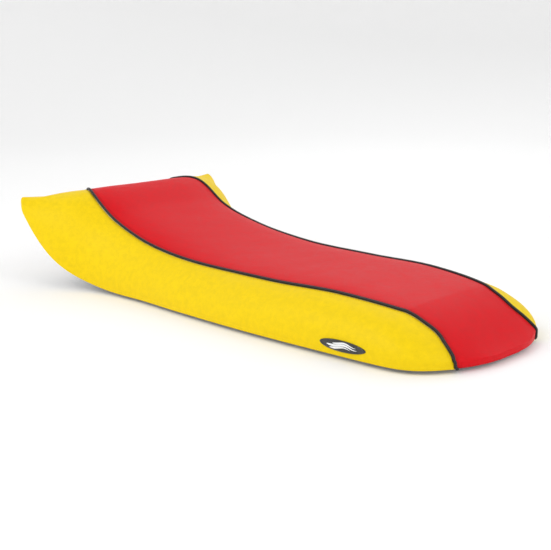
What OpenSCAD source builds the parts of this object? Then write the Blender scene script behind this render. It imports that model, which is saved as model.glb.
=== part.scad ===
// Straddle seat for a personal watercraft: a moulded foam bun on a plastic base pan, under a sewn
// three-panel cover with piped seams, with a front tongue and a rear latch under the pan.
// Millimetres. +X is forward to the nose, +Y is the rider's left, +Z is up. The origin lies on the
// deck plane that the rubber pads stand on, under the middle of the seat.

/* [Seat] */
// Length from the tail edge to the nose
seat_length = 1000; // [850:10:1200]
// Width across the tail corners
seat_width = 520; // [440:5:620]
// Height of the tail crest above the deck
seat_height = 192; // [170:2:235]
// Rise of the cover's lower edge at the tail corners
tail_kick = 160; // [130:2:165]
// How far the middle of the tail edge lies ahead of its corners
tail_dish = 20; // [0:1:30]
// How far the middle of the tail edge lies below its corners
tail_sag = 12; // [0:1:20]
// Height of the upright band along the cover's lower edge
edge_band = 12; // [11:0.5:16]

/* [Cover] */
// Thickness of the vinyl cover
cover_t = 2; // [1:0.1:2.5]
// Clearance between layers that lie on each other
layer_gap = 0.3; // [0.2:0.05:0.4]
// Diameter of the piping in the two long seams
piping_d = 5; // [4:0.5:7]
// Width of the facing that is folded under the pan
facing_w = 22; // [16:1:26]
// Number of staples along each side
side_staples = 20; // [10:1:24]
// Length of the oval badge
badge_length = 90; // [70:1:100]
// Height of the oval badge
badge_height = 18; // [14:1:24]

/* [Base pan] */
// Wall of the moulded pan
pan_t = 3.5; // [3:0.1:4]
// Width of the flat flange round the pan
flange_w = 50; // [46:1:56]
// Height of the recess ceiling above the deck
ceiling_z = 40; // [38:1:44]
// Height of the rubber pads below the cover's lower edge
pad_stand = 6; // [4:0.5:10]
// Diameter of a rubber deck pad
pad_d = 16; // [12:1:18]
// Diameter of the drain holes
drain_d = 10; // [6:1:14]

/* [Latch] */
// Diameter of the striker pin on the hull
striker_d = 8; // [7:0.5:9]
// Height of the striker pin above the deck
striker_z = 15; // [14:0.5:16]
// Distance of the striker pin behind the middle of the seat
striker_back = 270; // [240:5:280]
// Diameter of the two pivot pins
pivot_d = 6; // [5:0.5:7]
// Distance between the hook's pivot and the lever's pivot
linkage_length = 78; // [74:1:90]
// Thickness of the hook and lever plates
plate_t = 5; // [4:0.5:6]
// Width across the lever's grip
grip_length = 90; // [70:5:110]
// Diameter of the fixing screws
screw_d = 5; // [4:0.5:5.5]

/* [Hidden] */

red = [0.84, 0.12, 0.15];
yellow = [0.97, 0.83, 0.06];
black = [0.05, 0.05, 0.05];
steel = [0.72, 0.73, 0.75];

// Shape tables: [place along the length as a fraction, share of the named size].
// Half width of the cover's lower edge, as a share of half the seat's width
plan_shape = [[-0.5, 1.02], [-0.42, 0.95], [-0.33, 0.82], [-0.22, 0.77], [-0.08, 0.78],
              [0.1, 0.78], [0.26, 0.75], [0.38, 0.715], [0.46, 0.675], [0.5, 0.58]];
// Crown height, as a share of the crest height over the cover's lower edge
crown_shape = [[-0.5, 0.925], [-0.42, 0.99], [-0.33, 0.785], [-0.22, 0.633], [-0.08, 0.515],
               [0.1, 0.49], [0.26, 0.495], [0.38, 0.42], [0.46, 0.312], [0.5, 0.163]];
// Distance of the piped seam from the middle, as a share of the local half width
seam_shape = [[-0.5, 0.4], [-0.4, 0.61], [-0.25, 0.74], [0, 0.7], [0.22, 0.68],
              [0.36, 0.63], [0.446, 0.71], [0.466, 0.83], [0.48, 1]];

kick_start = -0.206;  // where the lower edge begins to rise, as a fraction of the length
kick_power = 3.2;     // how sharply it rises
tail_start = -0.25;   // where the dish and sag of the tail begin
nose_corner = 120;    // plan radius of the nose corners
tail_corner = 14;     // plan radius of the tail corners
nose_round = 122;     // length over which the crown drops at the nose
nose_power = 1.31;    // shape of that drop; 2 is a circle
tail_round = 21;      // radius of the tail edge
side_power = 0.5;     // how boxy the section is at the sides
crown_power = 0.92;   // how full the section is at the crown
band_angle = 8;       // the upright band's share of the section, in degrees
seam_end = 0.48;      // where the seam reaches the lower edge at the nose
seam_drop = 0.466;    // where the seam leaves the table to run down the upright band

skin_under = cover_t + layer_gap;      // from the cover's outside to the foam and the pan
facing_in = skin_under + facing_w;     // from the cover's outside to the facing's inner edge
crest_over_edge = seat_height - pad_stand;
ramp_w = 24;                           // width of the slope from flange to recess ceiling
recess_front = 0.4;                    // front end of the recess, as a fraction of the length
flange_z = pad_stand + skin_under;     // underside of the flange above the deck
fine = 32;

// ---- smooth curves and the seat's form ----

// Smooth cubic through the [x, value] pairs of a table
function gap(t, k) = t[k + 1][0] - t[k][0];
function rise(t, k) = (t[k + 1][1] - t[k][1]) / gap(t, k);
function lean(t, k) =
    k == 0 ? rise(t, 0)
    : k == len(t) - 1 ? rise(t, k - 1)
    : (rise(t, k - 1) * gap(t, k) + rise(t, k) * gap(t, k - 1)) / (gap(t, k - 1) + gap(t, k));
function smooth(t, x) =
    let (c = min(max(x, t[0][0]), t[len(t) - 1][0]),
         i = max([for (k = [0:len(t) - 2]) if (t[k][0] <= c) k]),
         h = gap(t, i),
         s = (c - t[i][0]) / h)
    (2 * s^3 - 3 * s^2 + 1) * t[i][1] + (s^3 - 2 * s^2 + s) * h * lean(t, i)
    + (3 * s^2 - 2 * s^3) * t[i + 1][1] + (s^3 - s^2) * h * lean(t, i + 1);

// 0 at an end of the seat, rising to 1 at the distance r from it along a superellipse
function ease(d, r, n = 2) = let (s = min(1, max(0, 1 - d / r))) (1 - s^n)^(1 / n);
function soft_step(t) = let (s = min(1, max(0, t))) s * s * (3 - 2 * s);

function half_width(f) =
    smooth(plan_shape, f) * seat_width / 2
    - nose_corner * (1 - ease((0.5 - f) * seat_length, nose_corner))
    - tail_corner * (1 - ease((0.5 + f) * seat_length, tail_corner));
function edge_rise(f) = tail_kick * min(1, max(0, (kick_start - f) / (kick_start + 0.5)))^kick_power;
function dome_height(f) =
    max(0, smooth(crown_shape, f) * crest_over_edge - edge_rise(f) + tail_sag * tail_share(f) - edge_band)
    * ease((0.5 - f) * seat_length, nose_round, nose_power)
    * ease((0.5 + f) * seat_length, tail_round);
function tail_share(f) = min(1, max(0, (tail_start - f) / (tail_start + 0.5)))^2;

// Lifts and dishes a point that is given over a flat lower edge, so that it follows the tail
function bend(p) =
    let (f = min(0.5, max(-0.5, p.x / seat_length)),
         across = min(1, abs(p.y) / half_width(f)),
         share = tail_share(f) * (1 - across^2))
    [p.x + tail_dish * share, p.y, p.z + pad_stand + edge_rise(f) - tail_sag * share];

// Angle round the section, 0 at the right-hand side's foot and 180 at the left's, of the seam
function seam_angle(f) =
    f >= seam_end ? -band_angle
    : let (share = min(1, max(0.01, smooth(seam_shape, f))), a = acos(share^(1 / side_power)))
      a - band_angle * soft_step((f - seam_drop) / (seam_end - seam_drop));

// Point of the section at fraction f and angle a, a depth below the cover's outside
function skin(f, a, depth) =
    let (w = half_width(f) - depth,
         x = f * (seat_length - 2 * depth),
         s = min(180, max(0, a)),
         over = min(0, a, 180 - a) / band_angle,
         side = s < 90 ? -1 : 1)
    bend([x,
          side * w * max(0, abs(cos(s)))^side_power,
          max(0, (edge_band - depth) * (1 + over)) + dome_height(f) * max(0, sin(s))^crown_power]);

// Angle that a length takes up along the section at fraction f and angle a
function angle_of(f, a, length) =
    let (b = max(1, a)) length / max(0.2, norm(skin(f, b + 1, 0) - skin(f, b, 0)));

// Stations along the length, shared by every layer so that their facets lie parallel
side_last = seam_end - 0.0006;  // the side panels stop just short of their pointed tip
stations = [
    -0.5, -0.4992, -0.497, -0.493, -0.487, -0.479, -0.466, -0.451, -0.434, -0.416, -0.397, -0.377,
    -0.356, -0.334, -0.311, -0.287, -0.262, -0.236, -0.2, -0.15, -0.09, -0.03, 0.03, 0.09, 0.15,
    0.2, 0.25, 0.3, 0.34, recess_front - ramp_w / seat_length,
    recess_front - ramp_w / 2 / seat_length, recess_front, 0.42, 0.434, 0.446, 0.457, seam_drop,
    0.4725, 0.4765, 0.4785, side_last, seam_end, 0.486, 0.4915, 0.4965, 0.4993, 0.5
];
side_stations = [for (f = stations) if (f <= side_last) f];

// ---- generic solids ----

// Solid between two grids of points: over is its upper or outer face, under its lower or inner one
module slab(over, under) {
    m = len(over);
    n = len(over[0]);
    function at(side, i, j) = side * m * n + i * n + j;
    points = [for (grid = [over, under]) for (row = grid) for (p = row) p];
    function quad(a, b, c, d) = [[a, b, c], [a, c, d]];
    quads = concat(
        [for (i = [0:m - 2]) for (j = [0:n - 2])
            quad(at(0, i, j), at(0, i + 1, j), at(0, i + 1, j + 1), at(0, i, j + 1))],
        [for (i = [0:m - 2]) for (j = [0:n - 2])
            quad(at(1, i, j), at(1, i, j + 1), at(1, i + 1, j + 1), at(1, i + 1, j))],
        [for (i = [0:m - 2]) quad(at(0, i, 0), at(1, i, 0), at(1, i + 1, 0), at(0, i + 1, 0))],
        [for (i = [0:m - 2])
            quad(at(0, i, n - 1), at(0, i + 1, n - 1), at(1, i + 1, n - 1), at(1, i, n - 1))],
        [for (j = [0:n - 2]) quad(at(0, 0, j), at(0, 0, j + 1), at(1, 0, j + 1), at(1, 0, j))],
        [for (j = [0:n - 2])
            quad(at(0, m - 1, j), at(1, m - 1, j), at(1, m - 1, j + 1), at(0, m - 1, j + 1))]);
    function apart(f) = norm(points[f[0]] - points[f[1]]) > 1e-6
        && norm(points[f[1]] - points[f[2]]) > 1e-6 && norm(points[f[2]] - points[f[0]]) > 1e-6;
    polyhedron(points, [for (q = quads) for (f = q) if (apart(f)) [f[0], f[2], f[1]]]);
}

// Round rod of radius r along a list of points whose run is never along Y
module rod_along(path, r, sides = 8) {
    n = len(path);
    function way(k) = let (d = path[min(n - 1, k + 1)] - path[max(0, k - 1)]) d / norm(d);
    function ring(k) =
        let (t = way(k), u0 = cross(t, [0, 1, 0]), u = u0 / norm(u0), v = cross(u, t))
        [for (s = [0:sides - 1]) path[k] + r * (cos(360 * s / sides) * u + sin(360 * s / sides) * v)];
    points = [for (k = [0:n - 1]) each ring(k)];
    walls = [for (k = [0:n - 2]) for (s = [0:sides - 1])
        let (a = k * sides + s, b = k * sides + (s + 1) % sides)
        each [[a, b, b + sides], [a, b + sides, a + sides]]];
    polyhedron(points, concat([[for (s = [0:sides - 1]) sides - 1 - s]], walls,
                              [[for (s = [0:sides - 1]) (n - 1) * sides + s]]));
}

module at_x(x, z, y = 0) translate([x, y, z]) children();
// Cylinder along Y, centred on the plane y
module across_y(d, length, y = 0)
    translate([0, y, 0]) rotate([90, 0, 0]) cylinder(d = d, h = length, center = true, $fn = fine);
// Flat bar with round ends in the XZ plane, between two [x, z] points
module flat_bar(a, b, width, thickness, y = 0)
    translate([0, y + thickness / 2, 0]) rotate([90, 0, 0]) linear_extrude(thickness)
        hull() for (p = [a, b]) translate(p) circle(d = width, $fn = fine);

// ---- cover ----

panel_gap = piping_d / 2 + layer_gap;  // from the seam line to a panel's cut edge

// Row at an end of a panel, lowered to the cover's lower edge so that the panel closes the end
function end_row(f, angles, depth) = [for (a = angles)
    let (q = skin(f, a, depth))
    [q.x, q.y, q.z - max(0, (edge_band - depth) * (1 + min(0, a, 180 - a) / band_angle))]];
function spread(a, b, n) = [for (j = [0:n]) a + (b - a) * j / n];

centre_cols = 14;
function centre_angles(f) =
    let (a = seam_angle(f), lo = a + angle_of(f, a, panel_gap))
    f > side_last ? [-band_angle, each spread(0, 180, centre_cols - 2), 180 + band_angle]
                  : spread(lo, 180 - lo, centre_cols);
function centre_grid(depth) = concat(
    [end_row(-0.5, centre_angles(-0.5), depth)],
    [for (f = stations) [for (a = centre_angles(f)) skin(f, a, depth)]],
    [end_row(0.5, centre_angles(0.5), depth)]);

module centre_panel() color(red) slab(centre_grid(0), centre_grid(cover_t));

side_cols = 9;
function side_angles(f) =
    let (a = seam_angle(f), top = max(1, a - angle_of(f, a, panel_gap)))
    [-band_angle, each spread(0, top, side_cols - 1)];
function side_grid(depth) = concat(
    [end_row(-0.5, side_angles(-0.5), depth)],
    [for (f = side_stations) [for (a = side_angles(f)) skin(f, a, depth)]]);

module right_side_panel() color(yellow) slab(side_grid(0), side_grid(cover_t));
function left_grid(depth) = [for (row = side_grid(depth))
    [for (j = [len(row) - 1:-1:0]) [row[j].x, -row[j].y, row[j].z]]];
module left_side_panel() color(yellow) slab(left_grid(0), left_grid(cover_t));

// The piping lies in the slot between the panels, on the foam
piping_depth = skin_under - piping_d / 2 - layer_gap;
piping_foot = 2;  // how far its lower end stays above the cover's lower edge
function piping_route() =
    let (tail = skin(-0.5, seam_angle(-0.5), piping_depth))
    concat([[tail.x, tail.y, tail.z - edge_band + piping_foot]],
           [for (f = [each side_stations, (side_last + seam_end) / 2]) skin(f, seam_angle(f), piping_depth)]);
module right_piping() color(black) rod_along(piping_route(), piping_d / 2);
module left_piping() color(black) mirror([0, 1, 0]) rod_along(piping_route(), piping_d / 2);

// Oval badge on the right-hand side panel, a little off the cover's surface
badge_at = [0.315, 4.4];  // [place along the length, angle up the section]
badge_lift = [0.6, 1.8];  // heights of its back and its front over the cover
badge_rings = 3;
badge_sides = 32;
function badge_point(s, t, lift) =
    let (f = badge_at[0] + s * badge_length / 2 / seat_length,
         up = angle_of(badge_at[0], badge_at[1], badge_height / 2))
    skin(f, badge_at[1] + t * up, -lift);
module side_badge() color(black) badge_disc();
module badge_disc() {
    n = badge_sides;
    function ring(k, lift) = [for (i = [0:n - 1]) let (r = k / badge_rings, a = 360 * i / n)
        badge_point(r * cos(a), r * sin(a), lift)];
    function disc(lift) = concat([for (k = [1:badge_rings]) each ring(k, lift)], [badge_point(0, 0, lift)]);
    hub = badge_rings * n;
    size = hub + 1;
    function faces(o) = concat(
        [for (i = [0:n - 1]) [o + hub, o + i, o + (i + 1) % n]],
        [for (k = [0:badge_rings - 2]) for (i = [0:n - 1])
            let (a = o + k * n + i, b = o + k * n + (i + 1) % n)
            each [[a, a + n, b + n], [a, b + n, b]]]);
    front = [for (f = faces(0)) [f[0], f[2], f[1]]];
    rim = (badge_rings - 1) * n;
    wall = [for (i = [0:n - 1]) let (a = rim + i, b = rim + (i + 1) % n)
        each [[a, b, b + size], [a, b + size, a + size]]];
    polyhedron([each disc(badge_lift[1]), each disc(badge_lift[0])], concat(front, faces(size), wall));
}

// Emblem on the badge: two raised wave strokes
wave_lift = [badge_lift[1] + 0.1, badge_lift[1] + 0.8];
wave_cols = 16;
wave_crest = 0.16;   // share of the badge's half height
wave_turns = 1.15;
wave_half = 0.11;
wave_strokes = [[0.28, 0.62], [-0.24, 0.66]];  // [height of the middle, half length]
function wave_grid(stroke, lift) = [for (side = [-1, 1]) [for (j = [0:wave_cols])
    let (u = 2 * j / wave_cols - 1,
         s = stroke[1] * u,
         middle = stroke[0] + wave_crest * sin(360 * s * wave_turns))
    badge_point(s, middle + side * wave_half * (1.1 - u^2), lift)]];
module badge_waves() color([0.95, 0.95, 0.95])
    for (stroke = wave_strokes) slab(wave_grid(stroke, wave_lift[1]), wave_grid(stroke, wave_lift[0]));

// ---- pan and foam ----

function recess_share(f, y, w) =
    soft_step((w - abs(y) - flange_w) / ramp_w) * soft_step((recess_front - f) * seat_length / ramp_w);

// Columns across the pan: close together on the slope into the recess, even between
pan_steps = [0, flange_w, flange_w + ramp_w * 0.3, flange_w + ramp_w * 0.7, flange_w + ramp_w];
pan_middle = 40;  // least half width left inside the slopes before they are squeezed
middle_cols = 2 * side_cols + centre_cols + 1 - 2 * len(pan_steps);
function pan_columns(w) =
    let (k = min(1, w / (flange_w + ramp_w + pan_middle)),
         edge = [for (s = pan_steps) w - s * k],
         inner = edge[len(edge) - 1],
         inside = spread(-inner, inner, middle_cols + 1))
    [for (y = edge) -y, for (j = [1:middle_cols]) inside[j], for (j = [len(edge) - 1:-1:0]) edge[j]];

// Sheet parallel to the seat's lower edge at the height z, hollowed into the recess by its share
function floor_grid(z, hollow) = [for (f = stations)
    let (w = half_width(f) - skin_under, x = f * (seat_length - 2 * skin_under))
    [for (y = pan_columns(w))
        let (p = bend([x, y, skin_under]))
        [p.x, p.y, p.z + z - skin_under + hollow * recess_share(f, y, w) * max(0, ceiling_z - p.z)]]];

// Foam columns follow the panels' columns, and close up where the nose has no side panels
function foam_angles(f) =
    let (side = f > side_last ? [for (j = [1:side_cols]) 0] : [for (j = [1:side_cols]) side_angles(f)[j]],
         middle = [for (a = centre_angles(f)) min(180, max(0, a))])
    concat(side, middle, [for (j = [side_cols - 1:-1:0]) 180 - side[j]]);
function foam_top() = [for (f = stations) [for (a = foam_angles(f)) skin(f, a, skin_under)]];

// ---- places of the fittings under the pan ----

pivot_drop = 9;         // from the recess ceiling to the two pivots
hook_pivot = [-striker_back + 1, ceiling_z - pivot_drop];
lever_pivot = [hook_pivot[0] - linkage_length, hook_pivot[1]];
link_arm = [-10, -14];  // from each pivot to its rod pin, so that the linkage is a parallelogram
latch_plate = [56, 48];
lever_plate = [44, 48];
sheet_t = 2;            // thickness of the bracket sheet
cheek_in = 9;           // from the middle to the inside of a bracket's cheek
boss_d = 12;
boss_h = 12;            // from the recess ceiling to the top of a screw boss
screw_inset = 7;
screw_room = 0.5;       // of a screw in a bracket's hole
tongue_x = 300;
tongue_plate = [48, 60];
tongue_t = 3;
tongue_screw_inset = 12;
pad_margin = 3;         // from the facing to a deck pad

function corner_screws(centre_x, plate) = [for (sx = [-1, 1]) for (sy = [-1, 1])
    [centre_x + sx * (plate[0] / 2 - screw_inset), sy * (plate[1] / 2 - screw_inset)]];
latch_x = -striker_back - 2;
lever_x = lever_pivot[0];
latch_points = corner_screws(latch_x, latch_plate);
lever_points = corner_screws(lever_x, lever_plate);
tongue_points = [for (sy = [-1, 1]) [tongue_x, sy * (tongue_plate[1] / 2 - tongue_screw_inset)]];
screw_points = concat(latch_points, lever_points, tongue_points);
pad_inset = facing_in + pad_d / 2 + pad_margin;
pad_points = [for (f = [-0.2, 0.08, 0.36]) for (side = [-1, 1])
    [f * seat_length, side * (half_width(f) - pad_inset)]];
drain_points = [[-120, 0], [160, 0]];
pad_stem_d = 7;
stem_room = 0.4;        // of a rubber part in its hole
grommet_lip = [2.5, 1.5];  // width and thickness of the lip under the pan
grommet_wall = 2;

module at_points(points, z) for (p = points) translate([p[0], p[1], z]) children();

// The free-form shell, its bosses and its holes are one moulding
module base_pan() color([0.09, 0.09, 0.1]) difference() {
    union() {
        slab(floor_grid(skin_under + pan_t, 1), floor_grid(skin_under, 1));
        at_points(screw_points, ceiling_z + pan_t / 2)
            cylinder(d = boss_d, h = boss_h - pan_t / 2, $fn = fine);
    }
    at_points(screw_points, ceiling_z - 1) cylinder(d = screw_d + 0.3, h = boss_h - 1, $fn = fine);
    at_points(pad_points, flange_z - 1) cylinder(d = pad_stem_d + stem_room, h = pan_t + 2, $fn = fine);
    at_points(drain_points, ceiling_z - 1) cylinder(d = drain_d + stem_room, h = pan_t + 2, $fn = fine);
}

module foam_cushion() color([0.93, 0.88, 0.68]) difference() {
    slab(foam_top(), floor_grid(skin_under + pan_t + layer_gap, 1));
    at_points(screw_points, ceiling_z)
        cylinder(d = boss_d + 2 * layer_gap, h = boss_h + layer_gap, $fn = fine);
    at_points(drain_points, ceiling_z) cylinder(d = drain_d + 6, h = pan_t + 2, $fn = fine);
}

// Facing: the cover's lower edge folded flat under the pan's flange, a ring all round
function edge_point(f, share, depth, z) =
    bend([f * (seat_length - 2 * depth), share * max(1, half_width(f) - depth), z]);
function facing_outline() = concat(
    [for (f = stations) edge_point(f, -1, facing_in, 0)],
    [for (j = [len(stations) - 1:-1:0]) edge_point(stations[j], 1, facing_in, 0)]);
module hem_facing() color(black) difference() {
    slab(floor_grid(cover_t, 0), floor_grid(0, 0));
    linear_extrude(seat_height) polygon([for (p = facing_outline()) [p.x, p.y]]);
}

// ---- rubber and fasteners ----

module deck_pads() color(black) at_points(pad_points, 0) {
    cylinder(d = pad_d, h = flange_z, $fn = fine);
    cylinder(d = pad_stem_d, h = flange_z + pan_t - layer_gap, $fn = fine);
}

module drain_grommets() color(black) at_points(drain_points, ceiling_z - grommet_lip[1])
    rotate_extrude($fn = fine) polygon([
        [drain_d / 2 - grommet_wall, 0], [drain_d / 2 + grommet_lip[0], 0],
        [drain_d / 2 + grommet_lip[0], grommet_lip[1]], [drain_d / 2, grommet_lip[1]],
        [drain_d / 2, grommet_lip[1] + pan_t], [drain_d / 2 - grommet_wall, grommet_lip[1] + pan_t]]);

// Staple: a crown under the facing and two legs through it into the pan
staple_crown = 10;
staple_wire = [0.8, 1, 0.6];  // thickness of a leg, width of the wire, thickness of the crown
staple_leg = 4.2;
staple_in = skin_under + facing_w * 0.55;
staple_drop = 0.1;            // from the facing to the crown
staple_reach = 0.455;         // place of the last staple of a row along the length
tail_staples = 3;             // on each side of the middle of the tail edge
tail_pitch = 1 / 3.8;         // as a share of the half width
module staple_at(p, run, side) {
    x = run / norm(run);
    z0 = cross(x, side);
    z = z0 / norm(z0);
    y = cross(z, x);
    w = staple_wire;
    multmatrix([[x.x, y.x, z.x, p.x], [x.y, y.y, z.y, p.y], [x.z, y.z, z.z, p.z], [0, 0, 0, 1]]) {
        translate([-staple_crown / 2, -w.y / 2, -w.z]) cube([staple_crown, w.y, w.z]);
        for (s = [-1, 1]) translate([(s * (staple_crown - w.x) - w.x) / 2, -w.y / 2, -staple_drop])
            cube([w.x, w.y, staple_leg * z.z]);
    }
}
function staple_point(f, share, depth = staple_in) = edge_point(f, share, depth, -staple_drop);
module staples() color(steel) {
    for (side = [-1, 1]) for (k = [0:side_staples - 1]) {
        f = staple_reach * (2 * k / (side_staples - 1) - 1);
        run = staple_point(f + 0.004, side) - staple_point(f - 0.004, side);
        staple_at(staple_point(f, side), run, [0, 1, 0]);
    }
    for (k = [-tail_staples:tail_staples]) {
        share = k * tail_pitch;
        run = staple_point(-0.5, share + 0.03) - staple_point(-0.5, share - 0.03);
        ahead = staple_point(-0.5, share, staple_in + 2) - staple_point(-0.5, share, staple_in - 2);
        staple_at(staple_point(-0.5, share), run, -ahead);
    }
}

// Pan-head screw driven up into a boss, its head under the plane z
head = [9.5, 3];       // diameter and height
socket = [4.5, 1.5];   // across corners, and depth
boss_floor = 3;        // from a screw's tip to the top of its boss
module screws(points, z) color(steel) at_points(points, z) difference() {
    union() {
        translate([0, 0, -head[1]]) cylinder(d = head[0], h = head[1], $fn = fine);
        translate([0, 0, -0.5]) cylinder(d = screw_d, h = ceiling_z + boss_h - boss_floor - z, $fn = fine);
    }
    translate([0, 0, -head[1] - 1]) cylinder(d = socket[0], h = socket[1] + 1, $fn = 6);
}
module screw_holes(points, z, t)
    at_points(points, z - 1) cylinder(d = screw_d + screw_room, h = t + 2, $fn = fine);
module tongue_screws() screws(tongue_points, ceiling_z - tongue_t);
module latch_screws() screws(latch_points, ceiling_z - sheet_t);
module lever_screws() screws(lever_points, ceiling_z - sheet_t);

// ---- front tongue ----

tongue_drop = 20;    // from the recess ceiling to the tongue's top face
tongue_reach = 44;   // from the back of the web to the tip
tongue_corner = 12;  // chamfer of the tip
module front_tongue() color(steel) difference() {
    w = tongue_plate[1];
    x0 = tongue_x - tongue_plate[0] / 2;
    web_x = tongue_x + tongue_plate[0] / 2 - tongue_t;
    foot_z = ceiling_z - tongue_drop - tongue_t;
    straight = tongue_reach - tongue_corner;
    union() {
        translate([x0, -w / 2, ceiling_z - tongue_t]) cube([tongue_plate[0], w, tongue_t]);
        translate([web_x, -w / 2, foot_z]) cube([tongue_t, w, tongue_drop + tongue_t]);
        translate([web_x, -w / 2, foot_z]) linear_extrude(tongue_t)
            polygon([[0, 0], [straight, 0], [tongue_reach, tongue_corner],
                     [tongue_reach, w - tongue_corner], [straight, w], [0, w]]);
    }
    screw_holes(tongue_points, ceiling_z - tongue_t, tongue_t);
}

// ---- rear latch ----

running = 0.05;          // radial clearance of a pin in its bore
through = 30;            // length of a cut across a bracket or a plate
striker_room = 0.6;      // of the striker pin in the bracket's slots
latch_cheek = [-16, 14, 7];  // back and front from the striker pin, and below it
lever_cheek = [9, 8];    // half length and reach below the lever pin
module cheeks(x0, x1, z0) for (s = [-1, 1])
    translate([x0, s * (cheek_in + sheet_t / 2) - sheet_t / 2, z0])
        cube([x1 - x0, sheet_t, ceiling_z - sheet_t / 2 - z0]);
module bracket_plate(x, plate)
    translate([x - plate[0] / 2, -plate[1] / 2, ceiling_z - sheet_t]) cube([plate[0], plate[1], sheet_t]);

module latch_bracket() color(steel) difference() {
    slot = striker_d + striker_room;
    union() {
        bracket_plate(latch_x, latch_plate);
        cheeks(latch_cheek[0] - striker_back, latch_cheek[1] - striker_back, striker_z - latch_cheek[2]);
    }
    screw_holes(latch_points, ceiling_z - sheet_t, sheet_t);
    at_x(hook_pivot[0], hook_pivot[1]) across_y(pivot_d + 2 * running, through);
    at_x(-striker_back, striker_z) across_y(slot, through);
    translate([-striker_back - slot / 2, -through / 2, 0]) cube([slot, through, striker_z]);
}

// Hook that holds the striker pin from below; its hub runs on the hook pin between the cheeks
rod_pin_d = 4;
mouth_r = striker_d / 2 + 0.8;  // radius of the hook's mouth
hub_d = 11;
hub_half = cheek_in - 0.2;
hook_back = 14;     // reach behind the striker pin
hook_lip = 4.7;     // thickness of the hook under the mouth
// Outline from the neck down the back, under the mouth to the lip, and up the front of the neck
hook_shape = [[-5, 16], [-hook_back, 4], [-hook_back, -4], [-10, -mouth_r - hook_lip],
              [-3, -mouth_r - hook_lip], [0.5, -mouth_r - hook_lip + 2], [1.8, -2],
              [-mouth_r, -2], [-mouth_r, 6], [-1, 12], [6, 16]];
module striker_hook() color([0.55, 0.56, 0.58]) difference() {
    union() {
        translate([-striker_back, plate_t / 2, striker_z]) rotate([90, 0, 0])
            linear_extrude(plate_t) polygon(hook_shape);
        at_x(hook_pivot[0], hook_pivot[1]) across_y(hub_d, 2 * hub_half);
    }
    at_x(-striker_back, striker_z) across_y(2 * mouth_r, through);
    at_x(hook_pivot[0], hook_pivot[1]) across_y(pivot_d + 2 * running, through);
    at_x(hook_pivot[0] + link_arm[0], hook_pivot[1] + link_arm[1]) across_y(rod_pin_d, through);
}

rod_gap = 0.5;   // between the rod and the plates beside it
rod_t = 2.5;
rod_w = 7;
rod_y = plate_t / 2 + rod_gap + rod_t / 2;
collar = [3, 1.4, 0.1];   // of a pivot pin: wider by, thickness, clearance to the cheek
rod_head = [2.5, 1, 0.3]; // of a rod pin: wider by, thickness, clearance to the rod

// Pivot pin with a head at one end and a peened collar at the other, outside the cheeks
module pivot_pin(p) color(steel) at_x(p[0], p[1]) {
    collar_y = cheek_in + sheet_t + collar[2] + collar[1] / 2;
    across_y(pivot_d, 2 * collar_y);
    for (s = [-1, 1]) across_y(pivot_d + collar[0], collar[1], s * collar_y);
}
module hook_pin() pivot_pin(hook_pivot);
module lever_pin() pivot_pin(lever_pivot);

module pull_rod() color(steel) difference() {
    flat_bar(hook_pivot + link_arm, lever_pivot + link_arm, rod_w, rod_t, rod_y);
    for (p = [hook_pivot, lever_pivot])
        at_x(p[0] + link_arm[0], p[1] + link_arm[1]) across_y(rod_pin_d + 2 * running, through);
}

// Rod pin: pressed in the plate, running in the rod, with a retaining head beyond it
module rod_pin(p) color(steel) at_x(p[0] + link_arm[0], p[1] + link_arm[1]) {
    y0 = -plate_t / 2;
    y1 = rod_y + rod_t / 2 + rod_head[2];
    across_y(rod_pin_d, y1 - y0, (y0 + y1) / 2);
    across_y(rod_pin_d + rod_head[0], rod_head[1], y1 + rod_head[1] / 2);
}
module rod_pin_front() rod_pin(hook_pivot);
module rod_pin_rear() rod_pin(lever_pivot);

// Lever: a cranked plate with a hub on the lever pin and a cross bar inside the grip
crank = [-28, -10];
grip_at = [-70, -10];
grip_d = 14;
grip_rim = [3, 3];   // wider by, and length along the grip
bar_d = 8;
bar_w = 9;
arm_w = 10;
bar_end = 4;         // from the bar's end to the grip's
grip_room = 0.2;     // between the grip and the steel inside it
module release_lever() color([0.55, 0.56, 0.58]) difference() {
    hub_y = (hub_half - plate_t / 2) / 2;
    union() {
        flat_bar(lever_pivot, lever_pivot + crank, bar_w, plate_t);
        flat_bar(lever_pivot + crank, lever_pivot + grip_at, bar_w, plate_t);
        flat_bar(lever_pivot, lever_pivot + link_arm, arm_w, plate_t);
        at_x(lever_pivot[0], lever_pivot[1]) across_y(hub_d, hub_half + plate_t / 2, hub_y);
        at_x(lever_pivot[0] + grip_at[0], lever_pivot[1] + grip_at[1])
            across_y(bar_d, grip_length - 2 * bar_end);
    }
    at_x(lever_pivot[0], lever_pivot[1]) across_y(pivot_d + 2 * running, through);
    at_x(lever_pivot[0] + link_arm[0], lever_pivot[1] + link_arm[1]) across_y(rod_pin_d, through);
}

// Two-ended moulded grip over the cross bar, with a slot for the lever plate
module lever_grip() color(black) at_x(lever_pivot[0] + grip_at[0], lever_pivot[1] + grip_at[1])
    difference() {
        union() {
            across_y(grip_d, grip_length);
            for (s = [-1, 1])
                across_y(grip_d + grip_rim[0], grip_rim[1], s * (grip_length - grip_rim[1]) / 2);
        }
        across_y(bar_d + grip_room, grip_length - 2 * (bar_end - grip_room));
        translate([-bar_w / 2 - 0.3, -plate_t / 2 - grip_room, -grip_d])
            cube([grip_d * 2, plate_t + 2 * grip_room, 2 * grip_d]);
    }

module lever_bracket() color(steel) difference() {
    union() {
        bracket_plate(lever_x, lever_plate);
        cheeks(lever_x - lever_cheek[0], lever_x + lever_cheek[0], lever_pivot[1] - lever_cheek[1]);
    }
    screw_holes(lever_points, ceiling_z - sheet_t, sheet_t);
    at_x(lever_pivot[0], lever_pivot[1]) across_y(pivot_d + 2 * running, through);
}

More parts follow.
